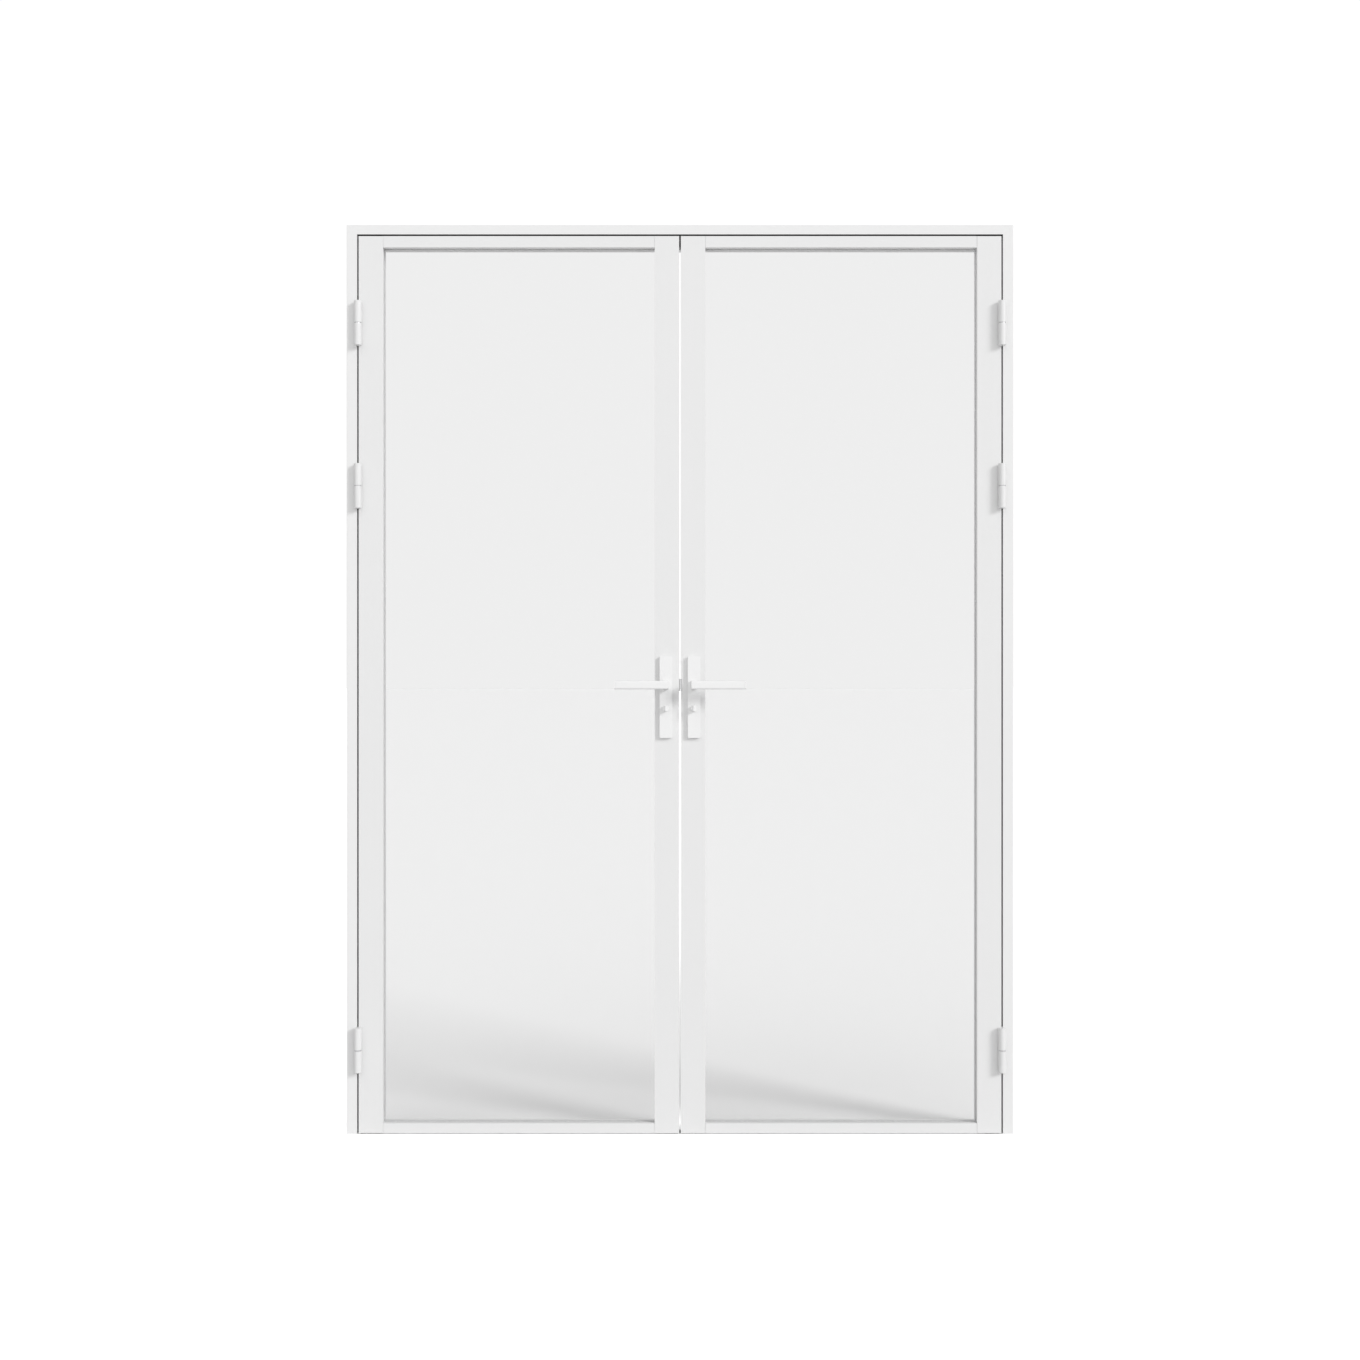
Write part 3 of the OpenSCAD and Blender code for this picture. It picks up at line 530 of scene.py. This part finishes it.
def scatter_tree(finish_name):
    """A tree that sets one screw on each point, aimed along the point's own direction."""
    tree = bpy.data.node_groups.new("screws_on_points", "GeometryNodeTree")
    interface = tree.interface
    interface.new_socket("Points", in_out="INPUT", socket_type="NodeSocketGeometry")
    screw = interface.new_socket("Screw", in_out="INPUT", socket_type="NodeSocketObject")
    size = interface.new_socket("Size", in_out="INPUT", socket_type="NodeSocketFloat")
    turn = interface.new_socket("Largest turn", in_out="INPUT", socket_type="NodeSocketFloat")
    seed = interface.new_socket("Seed", in_out="INPUT", socket_type="NodeSocketInt")
    interface.new_socket("Geometry", in_out="OUTPUT", socket_type="NodeSocketGeometry")
    nodes, link = tree.nodes, tree.links.new
    given, out = nodes.new("NodeGroupInput"), nodes.new("NodeGroupOutput")
    info = nodes.new("GeometryNodeObjectInfo")
    link(given.outputs["Screw"], info.inputs["Object"])
    aim = nodes.new("GeometryNodeInputNamedAttribute")
    aim.data_type = "FLOAT_VECTOR"
    aim.inputs["Name"].default_value = "aim"
    align = nodes.new("FunctionNodeAlignRotationToVector")
    align.axis = "Z"
    link(next(s for s in aim.outputs if s.name == "Attribute" and s.type == "VECTOR"), align.inputs["Vector"])
    spin = nodes.new("FunctionNodeRandomValue")
    spin.data_type = "FLOAT"
    floats = {s.name: s for s in spin.inputs if s.type == "VALUE"}
    floats["Min"].default_value = 0
    link(given.outputs["Largest turn"], floats["Max"])
    link(given.outputs["Seed"], spin.inputs["Seed"])
    turned = nodes.new("ShaderNodeCombineXYZ")
    link(next(s for s in spin.outputs if s.type == "VALUE"), turned.inputs["Z"])
    rotate = nodes.new("FunctionNodeRotateRotation")
    rotate.rotation_space = "LOCAL"
    link(align.outputs["Rotation"], rotate.inputs["Rotation"])
    link(turned.outputs["Vector"], rotate.inputs["Rotate By"])
    place = nodes.new("GeometryNodeInstanceOnPoints")
    link(given.outputs["Points"], place.inputs["Points"])
    link(info.outputs["Geometry"], place.inputs["Instance"])
    link(rotate.outputs["Rotation"], place.inputs["Rotation"])
    link(given.outputs["Size"], place.inputs["Scale"])
    real = nodes.new("GeometryNodeRealizeInstances")
    link(place.outputs["Instances"], real.inputs["Geometry"])
    paint = nodes.new("GeometryNodeSetMaterial")
    paint.inputs["Material"].default_value = finish_material(finish_name)
    link(real.outputs["Geometry"], paint.inputs["Geometry"])
    link(paint.outputs["Geometry"], out.inputs[0])
    return tree, {"screw": screw.identifier, "size": size.identifier, "turn": turn.identifier,
                  "seed": seed.identifier}


def screws(name, spots, diameter, rise, finish_name, body, seed, replaced=()):
    """Screws at spots, each a point on a plate's face and the direction the head looks."""
    unit = bpy.data.meshes.new("one_screw")
    source_bm = screw_head(diameter / 2, rise)
    source_bm.to_mesh(unit)
    source_bm.free()
    source = bpy.data.objects.new("one_screw", unit)
    bpy.context.scene.collection.objects.link(source)
    points = bpy.data.meshes.new("spots")
    points.from_pydata([p for p, _ in spots], [], [])
    aim = points.attributes.new("aim", "FLOAT_VECTOR", "POINT")
    aim.data.foreach_set("vector", [c for _, d in spots for c in d])
    tree, sockets = scatter_tree(finish_name)

    def scatter(holder):
        modifier = holder.modifiers.new("screws", "NODES")
        modifier.node_group = tree
        modifier[sockets["screw"]] = source
        modifier[sockets["size"]] = 1.0
        modifier[sockets["turn"]] = math.pi / 3
        modifier[sockets["seed"]] = seed

    mesh = evaluated_mesh(points, scatter)
    bpy.data.objects.remove(source)
    return new_piece(name, mesh, finish_name, body, replaced)


# Operators, one for each group of like pieces


class DoorOperator:
    """What the door's operators share."""

    bl_options = {"REGISTER", "UNDO"}

    def execute(self, context):
        self.build(context)
        return {"FINISHED"}


class DOOR_OT_frame(DoorOperator, bpy.types.Operator):
    """Coat the jambs and the head, and finish the seal, brackets and keeper in them"""

    bl_idname = "door.frame"
    bl_label = "Frame"

    above_leaves = 0.004
    close = 0.0003
    tiny = 1e-5

    def build(self, context):
        radius = context.scene.door_finish.frame_edge
        head_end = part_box("frame_head")[1].x
        joint_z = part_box("left_top_rail")[1].z + self.above_leaves

        def at_corner(a, b):
            """Edges along the joint of a jamb and the head, which is filled and coated over."""
            level = abs(a.z - b.z) < self.tiny and abs(a.x - b.x) > self.tiny
            if level and (a.z + b.z) / 2 > joint_z:
                return True
            at_head = all(abs(abs(v.x) - head_end) < self.close for v in (a, b))
            return at_head and max(a.z, b.z) > joint_z

        round_nodes(["frame_jamb_left", "frame_jamb_right"], radius, "frame_coat", "frame", keep=at_corner)
        round_nodes(["frame_head"], radius, "frame_coat", "frame",
                    keep=lambda a, b: min(abs(a.x), abs(b.x)) > head_end - self.close)
        coat_node("frame_seal", "black_rubber")
        coat_node("frame_corner_blocks", "steel_turned")
        coat_node("bolt_keeper", "steel_turned")


class DOOR_OT_leaves(DoorOperator, bpy.types.Operator):
    """Coat the stiles, rails and beads of both leaves"""

    bl_idname = "door.leaves"
    bl_label = "Leaves"

    def build(self, context):
        radius = context.scene.door_finish.leaf_edge
        for side, _ in SIDES:
            names = [f"{side}_{n}" for n in ("hinge_stile", "lock_stile")]
            round_nodes(names, radius, "leaf_coat", f"{side}_leaf", segments=3)
            names = [f"{side}_{n}" for n in ("top_rail", "bottom_rail")]
            round_nodes(names, radius / 2, "leaf_coat", f"{side}_leaf")
            # The beads take the lighter coat, painted light that brightens the shaded reveals
            names = [f"{side}_{n}" for n in ("side_beads", "rail_beads")]
            round_nodes(names, radius / 2, "bead_coat", f"{side}_leaf")
            coat_node(f"{side}_corner_blocks", "steel_turned")


class DOOR_OT_glazing(DoorOperator, bpy.types.Operator):
    """Set the panes, their seals and the blocks they stand on"""

    bl_idname = "door.glazing"
    bl_label = "Glazing"

    def build(self, context):
        for side, _ in SIDES:
            round_nodes([f"{side}_glass"], 0.0008, "door_glass", f"{side}_leaf", segments=1)
            round_nodes([f"{side}_front_seal", f"{side}_back_seal"], 0.0005, "pale_rubber",
                        f"{side}_leaf")
            coat_node(f"{side}_setting_blocks", "black_rubber")


class DOOR_OT_hinges(DoorOperator, bpy.types.Operator):
    """Finish the hinges' barrels, pins and washers, and screw their flaps on"""

    bl_idname = "door.hinges"
    bl_label = "Hinges"

    def build(self, context):
        finish, fixings = context.scene.door_finish, context.scene.door_fixings
        # The barrels and flaps take the darker coat, painted shade that tones down the light on them
        round_nodes(["hinge_frame_halves"], finish.hardware_edge / 2, "hinge_coat", "frame")
        for side, _ in SIDES:
            round_nodes([f"{side}_hinge_leaf_halves"], finish.hardware_edge / 2, "hinge_coat",
                        f"{side}_leaf")
        coat_node("hinge_pins", "steel_upright")
        coat_node("hinge_washers", "steel_turned")
        heights = sorted({round(v.co.z, 4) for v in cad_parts["hinge_washers"].data.vertices})
        middles = [(a + b) / 2 for a, b in zip(heights[::2], heights[1::2])]
        flap_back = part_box("right_hinge_leaf_halves")[1].y
        rows = [(flap_back - inset, dz) for inset, dz in FLAP_SCREWS]
        spots = []
        for side, k in SIDES:
            frame_flap = min(self.flap_faces("hinge_frame_halves", flap_back))
            leaf_flap = max(self.flap_faces(f"{side}_hinge_leaf_halves", flap_back))
            spots += [((k * frame_flap, y, z + dz), (-k, 0, 0)) for z in middles for y, dz in rows]
            screws(f"{side}_flap_screws",
                   [((k * leaf_flap, y, z + dz), (k, 0, 0)) for z in middles for y, dz in rows],
                   fixings.flap_screw, fixings.proud, "steel_turned", f"{side}_leaf", seed=3)
        screws("frame_flap_screws", spots, fixings.flap_screw, fixings.proud, "steel_turned", "frame",
               seed=5)

    @staticmethod
    def flap_faces(node, flap_back):
        """Distances from the door's middle to a hinge flap's two faces."""
        return [abs(v.co.x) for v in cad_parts[node].data.vertices if v.co.y > flap_back - 0.001]


class DOOR_OT_handles(DoorOperator, bpy.types.Operator):
    """Finish the handle plates, levers, spindles and thumb turns"""

    bl_idname = "door.handles"
    bl_label = "Handles"

    def build(self, context):
        radius = context.scene.door_finish.hardware_edge
        for side, _ in SIDES:
            round_nodes([f"{side}_front_plate", f"{side}_back_plate"], radius, "hardware_coat",
                        f"{side}_leaf", segments=3)
            round_nodes([f"{side}_front_lever", f"{side}_back_lever"], radius, "hardware_coat",
                        f"{side}_handle", segments=3)
            round_nodes([f"{side}_thumb_turn"], radius / 2, "hardware_coat", f"{side}_turn")
            for name in ("plate_screws", "spindle", "follower"):
                coat_node(f"{side}_{name}", "steel_turned")


class DOOR_OT_locks(DoorOperator, bpy.types.Operator):
    """Finish the lock cases, bolts, rods and cylinders, and screw on the plates in the edges"""

    bl_idname = "door.locks"
    bl_label = "Locks"

    def build(self, context):
        fixings = context.scene.door_fixings
        for side, _ in SIDES:
            coat_node(f"{side}_lock_case", "steel_upright")
            round_nodes([f"{side}_cylinder"], 0.0003, "steel_turned", f"{side}_leaf")
        round_nodes(["left_latch"], 0.0006, "bright_steel", "left_latch")
        round_nodes(["left_dead_bolt"], 0.0006, "bright_steel", "left_dead_bolt")
        for (side, k), plate in zip(SIDES, ("left_faceplate", "right_strike_plate")):
            round_nodes([plate], 0.0004, "steel_upright", f"{side}_leaf")
            low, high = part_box(f"{side}_lock_stile")
            edge = min(abs(low.x), abs(high.x))
            low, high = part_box(plate)
            ends = (low.z + EDGE_SCREW_INSET, high.z - EDGE_SCREW_INSET)
            spots = [((k * edge, 0, z), (-k, 0, 0)) for z in ends]
            screws(f"{side}_edge_screws", spots, fixings.edge_screw, fixings.proud, "steel_turned",
                   f"{side}_leaf", seed=7)
        coat_node("right_bolt_guides", "grey_nylon")
        for rod in ("right_top_rod", "right_bottom_rod"):
            coat_node(rod, "steel_upright")


class DOOR_OT_studio(DoorOperator, bpy.types.Operator):
    """Set the floor, the even backdrop, the soft lights and the camera"""

    bl_idname = "door.studio"
    bl_label = "Studio"

    def build(self, context):
        scene, studio = context.scene, context.scene.door_studio
        self.floor(scene, studio)
        self.backdrop(scene, studio)
        self.light(scene, "key_light", studio.key_strength, studio.key_softness, studio.key_turn,
                   studio.key_rise)
        self.light(scene, "fill_light", studio.fill_strength, studio.fill_softness, studio.fill_turn,
                   studio.fill_rise)
        self.light(scene, "back_light", studio.back_strength, studio.fill_softness, studio.back_turn,
                   studio.fill_rise)
        lens = bpy.data.cameras.new("camera")
        lens.sensor_width = 36
        lens.lens = studio.lens
        camera = bpy.data.objects.new("camera", lens)
        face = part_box("left_lock_stile")[0].y
        camera.location = (0, face - studio.camera_distance, studio.camera_height)
        camera.rotation_euler = (math.pi / 2, 0, 0)
        scene.collection.objects.link(camera)
        scene.camera = camera
        scene.view_settings.view_transform = "Standard"

    @staticmethod
    def light(scene, name, strength, softness, turn, rise):
        """A far light that fills an angle of the sky. Its disc isn't seen through the glass."""
        sun = bpy.data.lights.new(name, "SUN")
        sun.energy = strength
        sun.angle = softness
        towards = Vector((math.sin(turn) * math.cos(rise), -math.cos(turn) * math.cos(rise), math.sin(rise)))
        lamp = bpy.data.objects.new(name, sun)
        lamp.visible_transmission = False
        lamp.location = towards * LAMP_DISTANCE
        lamp.rotation_euler = towards.to_track_quat("Z", "Y").to_euler()
        scene.collection.objects.link(lamp)

    @staticmethod
    def floor(scene, studio):
        """A pale floor to the horizon, with a soft shade painted into its colour close behind the door where
        the camera sees it.
        """
        half = studio.floor_size / 2
        mesh = bpy.data.meshes.new("floor")
        mesh.from_pydata([(-half, -half, 0), (half, -half, 0), (half, half, 0), (-half, half, 0)], [],
                         [(0, 1, 2, 3)])
        floor = bpy.data.objects.new("floor", mesh)
        scene.collection.objects.link(floor)
        material, shader = blank_material("pale_floor")
        shader.inputs["Roughness"].default_value = 0.9
        shader.inputs["Specular IOR Level"].default_value = 0.0
        share = studio.floor_colour[0] / studio.floor_light
        place = add_node(material, "ShaderNodeTexCoord").outputs["Object"]
        along = add_node(material, "ShaderNodeSeparateXYZ", Vector=place).outputs
        aside = add_math(material, "ABSOLUTE", along["X"])
        view = studio.floor_view * share
        # Painted shade: the floor's colour for camera rays is darkened behind the door's middle, fading out
        # to the sides and far behind
        shade = map_range(material, aside, *PAINTED_SHADE_SIDES, view * (1 - studio.floor_shade), view, softly=True)
        shade = map_range(material, along["Y"], *PAINTED_SHADE_FAR_END, shade, view, softly=True)
        shade = map_range(material, along["Y"], *PAINTED_SHADE_NEAR_END, view, shade, softly=True)
        level = seen_level(material.node_tree, {
            "Is Glossy Ray": studio.reflected * share, "Is Transmission Ray": studio.glass_view * share,
            "Is Camera Ray": shade}, studio.floor_colour[0])
        material.node_tree.links.new(level, shader.inputs["Base Color"])
        mesh.materials.append(material)

    @staticmethod
    def backdrop(scene, studio):
        """An even surround that lights the door and closes the view."""
        world = bpy.data.worlds.new("backdrop")
        world.use_nodes = True
        tree = world.node_tree
        shader = tree.nodes["Background"]
        shader.inputs["Color"].default_value = (1, 1, 1, 1)
        level = seen_level(tree, {
            "Is Glossy Ray": studio.reflected, "Is Transmission Ray": studio.glass_view,
            "Is Camera Ray": studio.backdrop}, studio.sky_fill)
        tree.links.new(level, shader.inputs["Strength"])
        scene.world = world


STEPS = (DOOR_OT_studio, DOOR_OT_frame, DOOR_OT_leaves, DOOR_OT_glazing, DOOR_OT_hinges,
         DOOR_OT_handles, DOOR_OT_locks)


class DOOR_PT_panel(bpy.types.Panel):
    """Lists the door's steps and settings"""

    bl_idname = "DOOR_PT_panel"
    bl_label = "Prehung Door"
    bl_space_type = "VIEW_3D"
    bl_region_type = "UI"
    bl_category = "Door"

    def draw(self, context):
        for step in STEPS:
            self.layout.operator(step.bl_idname)
        for group in (context.scene.door_finish, context.scene.door_fixings, context.scene.door_studio):
            box = self.layout.box()
            for name in group.bl_rna.properties.keys():
                if name not in ("rna_type", "name"):
                    box.prop(group, name)


CLASSES = (DoorFinish, DoorFixings, DoorStudio, *STEPS, DOOR_PT_panel)


def register():
    for cls in CLASSES:
        bpy.utils.register_class(cls)
    bpy.types.Scene.door_finish = bpy.props.PointerProperty(type=DoorFinish)
    bpy.types.Scene.door_fixings = bpy.props.PointerProperty(type=DoorFixings)
    bpy.types.Scene.door_studio = bpy.props.PointerProperty(type=DoorStudio)


def unregister():
    del bpy.types.Scene.door_finish, bpy.types.Scene.door_fixings, bpy.types.Scene.door_studio
    for cls in reversed(CLASSES):
        bpy.utils.unregister_class(cls)


def main():
    register()
    for step in STEPS:
        group, name = step.bl_idname.split(".")
        getattr(getattr(bpy.ops, group), name)()


if __name__ == "__main__":
    main()
